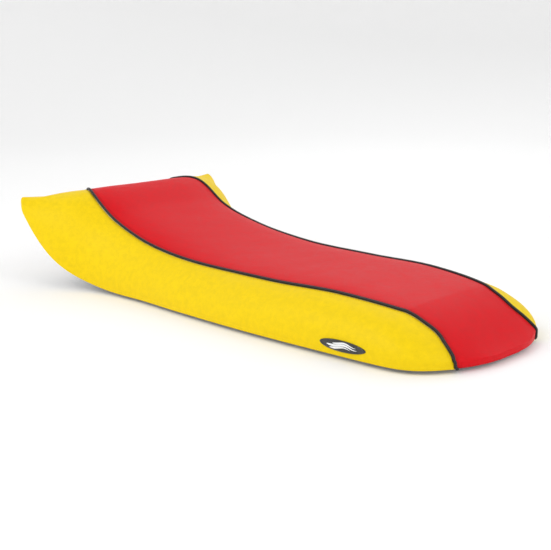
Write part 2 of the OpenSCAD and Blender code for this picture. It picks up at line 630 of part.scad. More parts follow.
// Torsion spring on the lever pin: one leg under the bracket plate, one over the lever
wire_d = 1.3;
coil_r = pivot_d / 2 + wire_d / 2 + 0.5;  // clear of the pin
coil_turns = 3;
spring_y = -plate_t / 2 - wire_d / 2 - 0.3;  // centre of the coil nearest to the lever
coil_pitch = wire_d * 1.06;
coil_steps = 14;
spring_centre = [lever_pivot[0], 0, lever_pivot[1]];
function coil_point(k) =
    let (a = 90 + 360 * k / coil_steps)
    spring_centre + [coil_r * cos(a), spring_y - coil_pitch * k / coil_steps, coil_r * sin(a)];
spring_toe = spring_centre + [-16, spring_y, 0.4];
spring_hook = [-4, 0, -1.9];  // the toe's bent end, over the lever's upper edge
spring_leg = spring_centre + [14, spring_y - coil_pitch * (coil_turns - 0.25),
                              ceiling_z - sheet_t - wire_d / 2 - 0.1 - lever_pivot[1]];
spring_tip = [spring_toe.x + spring_hook.x, spring_hook.y, spring_toe.z + spring_hook.z];
spring_route = concat([spring_tip, spring_toe],
                      [for (k = [0:coil_steps * coil_turns - 3]) coil_point(k)], [spring_leg]);
module return_spring() color([0.4, 0.41, 0.43]) rod_along(spring_route, wire_d / 2, 6);

base_pan();
foam_cushion();
centre_panel();
left_side_panel();
right_side_panel();
left_piping();
right_piping();
side_badge();
badge_waves();
hem_facing();
staples();
deck_pads();
drain_grommets();
front_tongue();
tongue_screws();
latch_bracket();
latch_screws();
striker_hook();
hook_pin();
pull_rod();
rod_pin_front();
rod_pin_rear();
release_lever();
lever_grip();
lever_pin();
lever_bracket();
lever_screws();
return_spring();
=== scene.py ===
import math

import bmesh
import bpy
import numpy as np
from bpy.props import FloatProperty, FloatVectorProperty, IntProperty, PointerProperty
from bpy.types import Operator, Panel, PropertyGroup
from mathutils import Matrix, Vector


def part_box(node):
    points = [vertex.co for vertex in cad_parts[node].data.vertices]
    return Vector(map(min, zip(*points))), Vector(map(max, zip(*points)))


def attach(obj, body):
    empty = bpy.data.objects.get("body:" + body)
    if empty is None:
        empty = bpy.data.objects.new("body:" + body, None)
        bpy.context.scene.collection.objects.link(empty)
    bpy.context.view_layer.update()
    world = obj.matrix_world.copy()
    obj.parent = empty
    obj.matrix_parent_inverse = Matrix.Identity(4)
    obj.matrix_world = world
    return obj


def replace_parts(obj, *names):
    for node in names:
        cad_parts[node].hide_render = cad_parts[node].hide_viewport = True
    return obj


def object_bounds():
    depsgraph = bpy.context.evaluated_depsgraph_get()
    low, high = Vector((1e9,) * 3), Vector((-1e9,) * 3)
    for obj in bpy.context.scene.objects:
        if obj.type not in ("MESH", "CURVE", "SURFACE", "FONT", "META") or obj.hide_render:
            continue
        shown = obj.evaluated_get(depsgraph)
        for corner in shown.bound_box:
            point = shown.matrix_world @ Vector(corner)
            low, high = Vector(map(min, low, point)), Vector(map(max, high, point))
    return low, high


bl_info = {
    "name": "Watercraft Seat",
    "version": (1, 0, 0),
    "blender": (4, 5, 0),
    "location": "3D View > Sidebar > Seat",
    "description": "Sews a piped three-panel cover onto a seat's foam and pan",
    "category": "Object",
}

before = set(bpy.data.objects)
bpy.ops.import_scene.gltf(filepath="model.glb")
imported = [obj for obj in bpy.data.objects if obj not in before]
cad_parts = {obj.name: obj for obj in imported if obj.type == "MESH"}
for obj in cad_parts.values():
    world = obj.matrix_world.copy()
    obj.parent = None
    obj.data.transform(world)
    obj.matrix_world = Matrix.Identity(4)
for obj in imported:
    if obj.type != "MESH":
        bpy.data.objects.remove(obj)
cad_low, cad_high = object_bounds()

# Shape tables: [place along the seat as a share of its length, share of the named size]
PLAN_SHAPE = [
    (-0.5, 1.02), (-0.42, 0.95), (-0.33, 0.82), (-0.22, 0.77), (-0.08, 0.78),
    (0.1, 0.78), (0.26, 0.75), (0.38, 0.715), (0.46, 0.675), (0.5, 0.58),
]
CROWN_SHAPE = [
    (-0.5, 0.925), (-0.42, 0.99), (-0.33, 0.785), (-0.22, 0.633), (-0.08, 0.515),
    (0.1, 0.49), (0.26, 0.495), (0.38, 0.42), (0.46, 0.312), (0.5, 0.163),
]
SEAM_SHAPE = [
    (-0.5, 0.4), (-0.4, 0.61), (-0.25, 0.74), (0, 0.7), (0.22, 0.68),
    (0.36, 0.63), (0.405, 0.6), (0.4465, 0.68), (0.471, 0.905), (0.477, 1), (0.48, 1),
]
KICK_START, KICK_POWER = -0.206, 3.2
TAIL_START = -0.25
NOSE_POWER = 1.31
SIDE_POWER, CROWN_POWER = 0.5, 0.92
BAND_ANGLE = 8.0
SEAM_END = 0.48
SEAM_DROP_START = 0.473
SEAM_GAP = 0.34  # from the seam to a panel's cut edge, as a share of the piping's diameter
MM = 0.001

# The studio camera: its place in seat lengths over the cover's edge, its tilt below level and its
# turn in degrees, and its focal length and the frame's width in the same units
VIEW_PLACE = (1.296, -1.333, 0.492)
VIEW_DOWN, VIEW_TURN = 13.41, 44.66
VIEW_FOCAL, VIEW_WIDTH = 1000, 551


class SeatSizes(PropertyGroup):
    """Sizes of the seat and its cover."""

    length: FloatProperty(
        name="Length", description="From the tail edge to the nose",
        default=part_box("centre_panel")[1].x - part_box("right_side_panel")[0].x, unit="LENGTH",
    )
    width: FloatProperty(
        name="Width", description="Across the tail corners", default=0.52, unit="LENGTH"
    )
    height: FloatProperty(
        name="Height", description="From the deck to the tail crest", default=0.192, unit="LENGTH"
    )
    pad_stand: FloatProperty(
        name="Pad stand", description="Height of the cover's edge above the deck",
        default=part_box("centre_panel")[0].z, unit="LENGTH",
    )
    tail_kick: FloatProperty(
        name="Tail kick", description="Rise of the lower edge at the tail corners",
        default=0.16, unit="LENGTH",
    )
    tail_dish: FloatProperty(
        name="Tail dish", description="How far the tail edge is hollowed forward",
        default=0.02, unit="LENGTH",
    )
    tail_sag: FloatProperty(
        name="Tail sag", description="How far the tail edge dips in its middle",
        default=0.012, unit="LENGTH",
    )
    edge_band: FloatProperty(
        name="Edge band", description="Upright band along the lower edge",
        default=0.012, unit="LENGTH",
    )
    edge_radius: FloatProperty(
        name="Edge radius", description="Rounding where the cover turns under the pan",
        default=0.0035, unit="LENGTH",
    )
    nose_corner: FloatProperty(
        name="Nose corner", description="Plan radius of the nose corners",
        default=0.12, unit="LENGTH",
    )
    tail_corner: FloatProperty(
        name="Tail corner", description="Plan radius of the tail corners",
        default=0.014, unit="LENGTH",
    )
    nose_round: FloatProperty(
        name="Nose round", description="Length over which the crown drops at the nose",
        default=0.122, unit="LENGTH",
    )
    tail_round: FloatProperty(
        name="Tail round", description="Radius of the tail edge",
        default=0.021, unit="LENGTH",
    )
    cover_thickness: FloatProperty(
        name="Cover thickness", description="Thickness of the vinyl",
        default=0.0018, unit="LENGTH",
    )
    piping_diameter: FloatProperty(
        name="Piping diameter", description="Thickness of the welt in the two long seams",
        default=0.005, unit="LENGTH",
    )
    stitch_pitch: FloatProperty(
        name="Stitch pitch", description="Distance from one stitch to the next",
        default=0.0052, unit="LENGTH",
    )
    stitch_inset: FloatProperty(
        name="Stitch inset", description="Distance of the stitch rows from the seam",
        default=0.0075, unit="LENGTH",
    )
    puff: FloatProperty(
        name="Puff", description="How far the panels swell between their seams",
        default=0.002, unit="LENGTH",
    )
    badge_length: FloatProperty(
        name="Badge length", description="Long axis of the oval badge",
        default=0.09, unit="LENGTH",
    )
    badge_height: FloatProperty(
        name="Badge height", description="Short axis of the oval badge",
        default=0.018, unit="LENGTH",
    )
    facing_width: FloatProperty(
        name="Facing width", description="Width of the strip folded under the pan",
        default=0.022, unit="LENGTH",
    )


class SeatLooks(PropertyGroup):
    """Colours of the seat."""

    red: FloatVectorProperty(
        name="Centre panel", description="Vinyl of the centre panel",
        subtype="COLOR", default=(0.7, 0.003, 0.009),
    )
    yellow: FloatVectorProperty(
        name="Side panels", description="Vinyl of the side panels",
        subtype="COLOR", default=(0.92, 0.65, 0.002),
    )
    black: FloatVectorProperty(
        name="Piping", description="Piping, badge and facing",
        subtype="COLOR", default=(0.012, 0.012, 0.013),
    )
    white: FloatVectorProperty(
        name="Emblem", description="Raised strokes on the badge",
        subtype="COLOR", default=(0.86, 0.87, 0.88),
    )
    floor: FloatVectorProperty(
        name="Floor", description="Studio floor and backdrop",
        subtype="COLOR", default=(0.92, 0.92, 0.92),
    )
    grain: IntProperty(
        name="Grain", description="Pebbles of the vinyl's grain per metre", default=700
    )


# ---- the seat's form, worked out as whole arrays ----


def smooth(table, x):
    """Cubic through a table's points.

    The slope at a point is the mean of its two chords' slopes, each weighted by the other's length.
    """
    knots, values = np.array(table, float).T
    gap = np.diff(knots)
    rise = np.diff(values) / gap
    inner = (rise[:-1] * gap[1:] + rise[1:] * gap[:-1]) / (gap[:-1] + gap[1:])
    lean = np.concatenate([rise[:1], inner, rise[-1:]])
    x = np.clip(x, knots[0], knots[-1])
    i = np.clip(np.searchsorted(knots, x, side="right") - 1, 0, len(gap) - 1)
    h = gap[i]
    s = (x - knots[i]) / h
    start = (2 * s**3 - 3 * s**2 + 1) * values[i] + (s**3 - 2 * s**2 + s) * h * lean[i]
    end = (3 * s**2 - 2 * s**3) * values[i + 1] + (s**3 - s**2) * h * lean[i + 1]
    return start + end


def ease(distance, radius, power=2.0):
    """Superellipse from 0 at the edge to 1 at the radius: (1 - (1 - d/r)^n)^(1/n)."""
    s = np.clip(1 - distance / radius, 0, 1)
    return (1 - s**power) ** (1 / power)


def soft_step(t):
    """Smooth rise from 0 to 1: 3t^2 - 2t^3."""
    s = np.clip(t, 0, 1)
    return s * s * (3 - 2 * s)


def unit(v):
    """Vectors divided by their lengths."""
    return v / np.maximum(np.linalg.norm(v, axis=-1, keepdims=True), 1e-12)


class Form:
    """The cover's outside as a function of the share f of the length and the section angle a."""

    def __init__(self, sizes):
        self.s = sizes

    def half_width(self, f):
        """Plan table, less superellipse corners at the nose and the tail."""
        s = self.s
        nose = s.nose_corner * (1 - ease((0.5 - f) * s.length, s.nose_corner))
        tail = s.tail_corner * (1 - ease((0.5 + f) * s.length, s.tail_corner))
        return smooth(PLAN_SHAPE, f) * s.width / 2 - nose - tail

    def edge_rise(self, f):
        """Power curve from the kick's start to the tail."""
        share = np.clip((KICK_START - f) / (KICK_START + 0.5), 0, 1)
        return self.s.tail_kick * share**KICK_POWER

    def tail_share(self, f):
        """Square ramp from the tail's start to the tail."""
        return np.clip((TAIL_START - f) / (TAIL_START + 0.5), 0, 1) ** 2

    def dome(self, f):
        """Crown height over the upright band, closed down at both ends."""
        s = self.s
        crown = smooth(CROWN_SHAPE, f) * (s.height - s.pad_stand) - self.edge_rise(f)
        crown = np.maximum(0, crown + s.tail_sag * self.tail_share(f) - s.edge_band)
        nose = ease((0.5 - f) * s.length, s.nose_round, NOSE_POWER)
        return crown * nose * ease((0.5 + f) * s.length, s.tail_round)

    def bend(self, x, y, z):
        """Moves points given over a flat lower edge up along the kick and into the tail's dish."""
        s = self.s
        f = np.clip(x / s.length, -0.5, 0.5)
        across = np.minimum(1, np.abs(y) / self.half_width(f))
        share = self.tail_share(f) * (1 - across**2)
        up = z + s.pad_stand + self.edge_rise(f) - s.tail_sag * share
        return np.stack(np.broadcast_arrays(x + s.tail_dish * share, y, up), axis=-1)

    def seam(self, f):
        """Section angle of the right-hand seam: acos of the seam's share of the half width."""
        share = np.clip(smooth(SEAM_SHAPE, f), 0.01, 1)
        a = np.degrees(np.arccos(share ** (1 / SIDE_POWER)))
        a = a - BAND_ANGLE * soft_step((f - SEAM_DROP_START) / (SEAM_END - SEAM_DROP_START))
        return np.where(f >= SEAM_END, -BAND_ANGLE, a)

    def skin(self, f, a, depth=0.0, climb=1.0):
        """Superellipse section on an upright band: y = w cos(a)^p, z = band + dome sin(a)^q.

        climb scales the band's height, for the end walls; the band's foot turns under on a radius.
        """
        s = self.s
        over = np.minimum(0, np.minimum(a, 180 - a)) / BAND_ANGLE
        foot = (s.edge_band - depth) * (1 + over) * climb
        r = s.edge_radius
        tuck = r - np.sqrt(np.maximum(0, r**2 - np.maximum(0, r - foot) ** 2))
        angle = np.radians(np.clip(a, 0, 180))
        side = np.where(np.cos(angle) > 0, -1, 1)
        w = self.half_width(f) - depth - tuck
        y = side * w * np.abs(np.cos(angle)) ** SIDE_POWER
        z = foot + self.dome(f) * np.sin(angle) ** CROWN_POWER
        return self.bend(f * (s.length - 2 * (depth + tuck)), y, z)

    def normal(self, f, a):
        """Cross product of the section's central differences along and around."""
        df, da = 2e-4, 0.3
        f1, f2 = np.clip(f - df, -0.5, 0.5), np.clip(f + df, -0.5, 0.5)
        along = self.skin(f2, a) - self.skin(f1, a)
        a1 = np.clip(a - da, -BAND_ANGLE, 180 + BAND_ANGLE)
        a2 = np.clip(a + da, -BAND_ANGLE, 180 + BAND_ANGLE)
        around = self.skin(f, a2) - self.skin(f, a1)
        return unit(np.cross(unit(along), unit(around)))

    def degrees_for(self, f, a, length):
        """Section angle taken up by a length along the section, on the band or above it."""
        b = np.where(a < 0, -2.0, np.maximum(1, a))
        step = np.linalg.norm(self.skin(f, b + 1) - self.skin(f, b), axis=-1)
        return length / np.maximum(0.2 * MM, step)


def relief(distance, puff):
    """How far a panel lies off the plain form: rolled down at its cut edge, swollen further in.

    Quarter circle of 2 mm radius at the edge, and a dip that fades over 14 mm.
    """
    roll = 2.0 * MM
    reach = np.clip(1 - distance / roll, 0, 1)
    edge = -roll * (1 - np.sqrt(1 - reach**2))
    return edge - puff * 0.5 * np.exp(-distance / (14 * MM))


def waviness(points, distance):
    """Slow unevenness of stretched vinyl: three sine waves across each other, fading at the seams."""
    x, y = points[..., 0], points[..., 1]
    wave = np.sin(57 * x + 9 * np.sin(23 * y)) * np.sin(49 * y + 1.3)
    wave = wave + 0.6 * np.sin(96 * x - 31 * y) + 0.4 * np.sin(140 * y + 60 * x)
    return 0.16 * MM * wave * (1 - np.exp(-distance / (30 * MM)))


# ---- meshes ----


def mesh_object(name, points, faces, body, attributes=None, sharp=40):
    """Mesh with merged doubles and smooth shading that breaks at sharp edges, riding on a body."""
    mesh = bpy.data.meshes.new(name)
    mesh.from_pydata(points.reshape(-1, 3).tolist(), [], faces)
    for key, values in (attributes or {}).items():
        layer = mesh.attributes.new(key, "FLOAT", "POINT")
        layer.data.foreach_set("value", np.asarray(values, np.float32).ravel())
    work = bmesh.new()
    work.from_mesh(mesh)
    bmesh.ops.remove_doubles(work, verts=work.verts, dist=1e-6)
    if work.calc_volume(signed=True) < 0:
        bmesh.ops.reverse_faces(work, faces=work.faces)
    work.to_mesh(mesh)
    work.free()
    mesh.polygons.foreach_set("use_smooth", np.ones(len(mesh.polygons), bool))
    mesh.set_sharp_from_angle(angle=math.radians(sharp))
    piece = bpy.data.objects.new(name, mesh)
    bpy.context.scene.collection.objects.link(piece)
    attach(piece, body)
    return piece


def grid_quads(rows, cols, start=0, wrap_rows=False, wrap_cols=False):
    """Corner numbers of the quads of a grid, as an array."""
    i = np.arange(rows if wrap_rows else rows - 1)[:, None]
    j = np.arange(cols if wrap_cols else cols - 1)[None, :]
    i2, j2 = (i + 1) % rows, (j + 1) % cols
    quads = np.stack([i * cols + j, i2 * cols + j, i2 * cols + j2, i * cols + j2], -1)
    return start + quads.reshape(-1, 4)


def shell(outer, inner, wrap_rows=False):
    """Closed skin between two grids: both faces and the walls between their borders."""
    rows, cols = outer.shape[:2]
    size = rows * cols
    top = grid_quads(rows, cols, 0, wrap_rows)
    bottom = grid_quads(rows, cols, size, wrap_rows)[:, ::-1]
    number = np.arange(size).reshape(rows, cols)
    walls = []
    edges = [number[:, 0], number[::-1, -1]]
    if wrap_rows:
        edges = [np.append(e, e[0]) for e in edges]
    else:
        edges += [number[-1, :], number[0, ::-1]]
    for edge in edges:
        a, b = edge[:-1], edge[1:]
        walls.append(np.stack([b, a, a + size, b + size], -1))
    points = np.concatenate([outer.reshape(-1, 3), inner.reshape(-1, 3)])
    return points, np.concatenate([top, bottom, *walls]).tolist()


def capped(rings):
    """Closed skin over a grid of rings, with a flat face on the first and the last."""
    rows, cols = rings.shape[:2]
    number = np.arange(rows * cols).reshape(rows, cols)
    faces = grid_quads(rows, cols, 0, wrap_cols=True).tolist()
    return rings.reshape(-1, 3), faces + [number[0, ::-1].tolist(), number[-1].tolist()]


def tube(path, radius, guide, sides=14):
    """Round tube round a path, with rounded ends: centre + r (cos t u + sin t v).

    u is the guide vector made square to the path, v = path direction x u; radius may vary.
    """
    along = unit(np.gradient(path, axis=0))
    u = unit(guide - np.sum(guide * along, -1, keepdims=True) * along)
    v = np.cross(along, u)
    turn = np.linspace(0, 2 * np.pi, sides, endpoint=False)
    ring = np.cos(turn)[None, :, None] * u[:, None] + np.sin(turn)[None, :, None] * v[:, None]
    points = path[:, None] + np.broadcast_to(radius, len(path))[:, None, None] * ring
    rows = len(path)
    quads = grid_quads(rows, sides, 0, wrap_cols=True)
    points = np.concatenate([points.reshape(-1, 3), path[:1], path[-1:]])
    j = np.arange(sides)
    k = (j + 1) % sides
    last = (rows - 1) * sides
    caps = [np.stack([j, k, np.full(sides, rows * sides)], -1)]
    caps.append(np.stack([last + k, last + j, np.full(sides, rows * sides + 1)], -1))
    return points, quads.tolist() + np.concatenate(caps).tolist()


# ---- finishes ----


class Signal:
    """A number inside a material, with arithmetic that adds the nodes for it."""

    def __init__(self, socket):
        self.socket = socket

    def _math(self, operation, first, second):
        node = self.socket.id_data.nodes.new("ShaderNodeMath")
        node.operation = operation
        for socket, value in zip(node.inputs, (first, second)):
            if isinstance(value, Signal):
                self.socket.id_data.links.new(value.socket, socket)
            else:
                socket.default_value = value
        return Signal(node.outputs[0])

    def __add__(self, other):
        return self._math("ADD", self, other)

    def __radd__(self, other):
        return self._math("ADD", other, self)

    def __sub__(self, other):
        return self._math("SUBTRACT", self, other)

    def __rsub__(self, other):
        return self._math("SUBTRACT", other, self)

    def __mul__(self, other):
        return self._math("MULTIPLY", self, other)

    def __rmul__(self, other):
        return self._math("MULTIPLY", other, self)


class Finish:
    """One material: a Principled shader, and one method that adds any other node."""

    made = {}

    def __init__(self, name, **uniform):
        self.material = bpy.data.materials.new(name)
        self.material.use_nodes = True
        self.tree = self.material.node_tree
        self.shader = self.tree.nodes["Principled BSDF"]
        for key, value in uniform.items():
            self.shader.inputs[key.replace("_", " ")].default_value = value
        self.coords = self.node("ShaderNodeTexCoord", {}, "Object")
        Finish.made[name] = self.material

    def node(self, kind, settings, output, numbered=None, **named):
        """Adds a node: its settings first, then the values or links of its sockets."""
        node = self.tree.nodes.new(kind)
        for key, value in settings.items():
            setattr(node, key, value)
        sockets = dict(numbered or {})
        sockets.update((key.replace("_", " "), value) for key, value in named.items())
        for key, value in sockets.items():
            if isinstance(value, Signal):
                self.tree.links.new(value.socket, node.inputs[key])
            else:
                node.inputs[key].default_value = value
        return Signal(node.outputs[output])

    def noise(self, scale, detail=3.0, roughness=0.55, coords=None):
        """Cloudy unevenness, by its lumps per metre."""
        return self.node(
            "ShaderNodeTexNoise", {}, "Fac", Vector=coords or self.coords,
            Scale=scale, Detail=detail, Roughness=roughness,
        )

    def cells(self, scale, feature="F1", output="Distance"):
        """Pebbles or crystals, by their number per metre."""
        return self.node(
            "ShaderNodeTexVoronoi", {"feature": feature}, output,
            Vector=self.coords, Scale=scale,
        )

    def stretched(self, x, y, z):
        """Object coordinates scaled apart, for grain with a direction."""
        return self.node(
            "ShaderNodeMapping", {}, "Vector", Vector=self.coords, Scale=(x, y, z)
        )

    def attribute(self, name):
        """A value stored on the mesh's points."""
        return self.node("ShaderNodeAttribute", {"attribute_name": name}, "Fac")

    def limit(self, value, low, high, start=0.0, end=1.0):
        """Value mapped from low..high to start..end and held there."""
        return self.node(
            "ShaderNodeMapRange", {"clamp": True}, "Result", Value=value,
            From_Min=low, From_Max=high, To_Min=start, To_Max=end,
        )

    def mix(self, factor, first, second):
        """Colour between two colours; the colour sockets share their names, so they go by number."""
        sockets = {0: factor, 6: first, 7: second}
        return self.node("ShaderNodeMix", {"data_type": "RGBA"}, 2, sockets)

    def bump(self, height, distance, strength, **under):
        """Normal from a height, over the normal of a coarser bump if one is given."""
        return self.node(
            "ShaderNodeBump", {}, "Normal",
            Height=height, Distance=distance, Strength=strength, **under,
        )

    def drive(self, **inputs):
        """Links signals to the shader."""
        for key, value in inputs.items():
            self.tree.links.new(value.socket, self.shader.inputs[key.replace("_", " ")])
        return self.material


def rgba(colour, gain=1.0):
    """Opaque colour, lighter or darker by a gain."""
    return (colour[0] * gain, colour[1] * gain, colour[2] * gain, 1.0)


def vinyl(name, colour, grain, seam_shade=0.82, roughness=0.52):
    """Sewn marine vinyl: pebbled grain with painted shade in its creases, faint mottling, and painted
    shade with a duller surface along the seams.
    """
    f = Finish(name, Coat_Weight=0.02, Coat_Roughness=0.35, Specular_IOR_Level=0.14)
    pebble = f.cells(grain)
    crease = f.cells(grain, "DISTANCE_TO_EDGE")
    mottle = f.limit(f.noise(95, 4.0, 0.62), 0.35, 0.68)
    cloud = f.limit(f.noise(9, 2.0), 0.3, 0.7)
    seam = f.limit(f.attribute("seam"), 0.0, 0.011)
    worn = f.limit(f.noise(4.0, 5.0, 0.6), 0.5, 0.75)
    light = f.mix(mottle, rgba(colour, 0.93), rgba(colour, 1.04))
    light = f.mix(cloud * 0.35, light, rgba(colour, 0.95))
    # painted shade: the creases between the grain's pebbles are darkened towards 0.7 of the colour
    valley = f.limit(crease, 0.0, 0.16)
    light = f.mix((1 - valley) * 0.22, light, rgba(colour, 0.7))
    # painted shade: the colour darkens within 11 mm of a seam, where the panel rolls down into it
    shade = f.mix((1 - seam) * 0.75, light, rgba(colour, seam_shade))
    rough = roughness + mottle * 0.07 + (1 - seam) * 0.1 - worn * 0.06
    coarse = f.bump(mottle, 0.5 * MM, 0.25)
    fine = f.bump(valley * 0.7 + pebble * 0.3, 0.12 * MM, 0.55, Normal=coarse)
    return f.drive(Base_Color=shade, Roughness=rough, Normal=fine)


def thread(name, colour):
    """Bonded thread: fine twist across the stitch."""
    f = Finish(name, Specular_IOR_Level=0.35)
    twist = f.noise(1800, 2.0)
    shade = f.mix(twist, rgba(colour, 0.7), rgba(colour, 1.0))
    rough = 0.6 + twist * 0.15
    return f.drive(Base_Color=shade, Roughness=rough, Normal=f.bump(twist, 0.1 * MM, 0.4))


def rubber(name, colour, grain=900, roughness=0.62):
    """Moulded rubber or vinyl welt: fine matt grain with dusty patches."""
    f = Finish(name, Specular_IOR_Level=0.4)
    speck = f.noise(grain, 3.0)
    dust = f.limit(f.noise(22, 4.0), 0.45, 0.75)
    shade = f.mix(dust * 0.35, rgba(colour), rgba(colour, 2.6))
    rough = roughness + speck * 0.12 + dust * 0.08
    return f.drive(Base_Color=shade, Roughness=rough, Normal=f.bump(speck, 0.1 * MM, 0.35))


def moulding(name, colour, grain=650, roughness=0.5):
    """Moulded plastic: spark-eroded grain, faint flow marks and scuffs."""
    f = Finish(name)
    texture = f.noise(grain, 4.0, 0.65)
    flow = f.noise(5.0, 3.0, 0.5, f.stretched(1.0, 3.0, 1.0))
    scuff = f.limit(f.noise(60, 6.0, 0.7, f.stretched(0.4, 2.5, 1.0)), 0.6, 0.72)
    shade = f.mix(flow, rgba(colour, 0.85), rgba(colour, 1.3))
    shade = f.mix(scuff * 0.3, shade, rgba(colour, 3.0))
    rough = roughness + flow * 0.1 + scuff * 0.15
    return f.drive(Base_Color=shade, Roughness=rough, Normal=f.bump(texture, 0.15 * MM, 0.3))


def plated_sheet(name, colour, roughness=0.3):
    """Zinc-plated sheet steel: faint crystals, rolling lines and dull spots."""
    f = Finish(name, Metallic=1.0)
    crystal = f.cells(160, "F1", "Color")
    grey = f.node("ShaderNodeRGBToBW", {}, "Val", Color=crystal)
    lines = f.noise(300, 2.0, 0.5, f.stretched(0.12, 2.0, 1.0))
    spots = f.limit(f.noise(45, 5.0, 0.65), 0.55, 0.72)
    shade = f.mix(grey, rgba(colour, 0.92), rgba(colour, 1.04))
    shade = f.mix(spots * 0.25, shade, rgba(colour, 0.7))
    rough = roughness + lines * 0.12 + spots * 0.12
    return f.drive(Base_Color=shade, Roughness=rough, Normal=f.bump(lines, 0.05 * MM, 0.25))


def bare_steel(name, colour, roughness=0.26):
    """Turned or drawn steel: fine tool lines and slight tarnish."""
    f = Finish(name, Metallic=1.0)
    lines = f.noise(1400, 2.0, 0.5, f.stretched(1.0, 0.2, 1.0))
    tarnish = f.limit(f.noise(70, 4.0), 0.4, 0.75)
    straw = (colour[0], colour[1] * 0.93, colour[2] * 0.82)
    shade = f.mix(tarnish * 0.5, rgba(colour), rgba(straw, 0.8))
    rough = roughness + lines * 0.1 + tarnish * 0.14
    return f.drive(Base_Color=shade, Roughness=rough, Normal=f.bump(lines, 0.03 * MM, 0.3))


def enamel(name, colour, roughness=0.16):
    """Glossy moulded badge: tiny orange peel and fine scratches."""
    f = Finish(name, Coat_Weight=0.6, Coat_Roughness=0.06)
    peel = f.noise(420, 2.0)
    scratch = f.limit(f.noise(240, 3.0, 0.6, f.stretched(0.2, 3.0, 1.0)), 0.62, 0.7)
    shade = f.mix(scratch * 0.2, rgba(colour), rgba(colour, 1.5))
    rough = roughness + scratch * 0.25 + peel * 0.05
    return f.drive(Base_Color=shade, Roughness=rough, Normal=f.bump(peel, 0.03 * MM, 0.2))


def foam_rubber(name, colour):
    """Open-cell foam: yellowing, and painted shade in its pores."""
    f = Finish(name, Specular_IOR_Level=0.2)
    pore = f.cells(900)
    age = f.noise(7, 3.0)
    shade = f.mix(age, rgba(colour, 0.85), rgba(colour, 1.0))
    # painted shade: the pores are darkened towards 0.55 of the colour
    shade = f.mix((1 - f.limit(pore, 0.1, 0.5)) * 0.5, shade, rgba(colour, 0.55))
    return f.drive(Base_Color=shade, Roughness=0.9 + age * 0.05, Normal=f.bump(pore, 0.4 * MM, 0.6))


def paper(name, colour):
    """Studio paper: almost even, with a faint tooth, and a faint glow in its own colour that is
    painted light.
    """
    # painted light: the paper glows faintly in its own colour, brightening the backdrop beyond the
    # lamps' light
    f = Finish(name, Specular_IOR_Level=0.1, Emission_Color=rgba(colour), Emission_Strength=0.1)
    tooth = f.noise(30, 3.0)
    shade = f.mix(tooth, rgba(colour, 0.985), rgba(colour, 1.0))
    return f.drive(Base_Color=shade, Roughness=0.9 + tooth * 0.05)


FITTINGS = {
    "base_pan": "pan plastic",
    "deck_pads": "pad rubber",
    "drain_grommets": "pad rubber",
    "front_tongue": "plated sheet",
    "latch_bracket": "plated sheet",
    "lever_bracket": "plated sheet",
    "pull_rod": "plated sheet",
    "striker_hook": "dark steel",
    "release_lever": "dark steel",
    "lever_grip": "grip plastic",
    "staples": "bright steel",
    "tongue_screws": "bright steel",
    "latch_screws": "bright steel",
    "lever_screws": "bright steel",
    "hook_pin": "bright steel",
    "lever_pin": "bright steel",
    "rod_pin_front": "bright steel",
    "rod_pin_rear": "bright steel",
    "return_spring": "spring wire",
}


# ---- operators ----


def settings(context):
    """The scene's sizes and colours."""
    return context.scene.seat_sizes, context.scene.seat_looks


class SEAT_OT_finishes(Operator):
    """Make the seat's materials and give the fittings theirs"""

    bl_idname = "seat.finishes"
    bl_label = "Finishes"

    def execute(self, context):
        _, looks = settings(context)
        vinyl("red vinyl", looks.red, looks.grain)
        # the side panels get a little deeper painted shade along their seams than the centre panel
        vinyl("yellow vinyl", looks.yellow, looks.grain, seam_shade=0.78)
        vinyl("facing vinyl", looks.black, looks.grain * 0.8, roughness=0.66)
        thread("red thread", (looks.red[0] * 0.6, looks.red[1], looks.red[2]))
        thread("yellow thread", (looks.yellow[0] * 0.72, looks.yellow[1] * 0.68, looks.yellow[2]))
        rubber("piping vinyl", looks.black, 1200, 0.42)
        rubber("pad rubber", (0.02, 0.02, 0.021))
        moulding("pan plastic", (0.03, 0.031, 0.033))
        moulding("grip plastic", (0.02, 0.02, 0.022), 900, 0.42)
        plated_sheet("plated sheet", (0.62, 0.63, 0.65))
        bare_steel("dark steel", (0.32, 0.325, 0.34), 0.34)
        bare_steel("bright steel", (0.7, 0.7, 0.71), 0.2)
        bare_steel("spring wire", (0.25, 0.25, 0.27), 0.3)
        enamel("badge black", looks.black)
        enamel("badge white", looks.white, 0.24)
        foam_rubber("seat foam", (0.82, 0.72, 0.42))
        paper("studio paper", looks.floor)
        for name, finish in FITTINGS.items():
            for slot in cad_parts[name].material_slots:
                slot.material = Finish.made[finish]
        return {"FINISHED"}


def paint(piece, finish):
    """Gives a piece a finish by its name."""
    piece.data.materials.append(Finish.made[finish])
    return piece


def along_length(first, last, count):
    """Places along the length, closer together towards both ends: half a cosine."""
    t = np.linspace(0, np.pi, count)
    return first + (last - first) * (1 - np.cos(t)) / 2


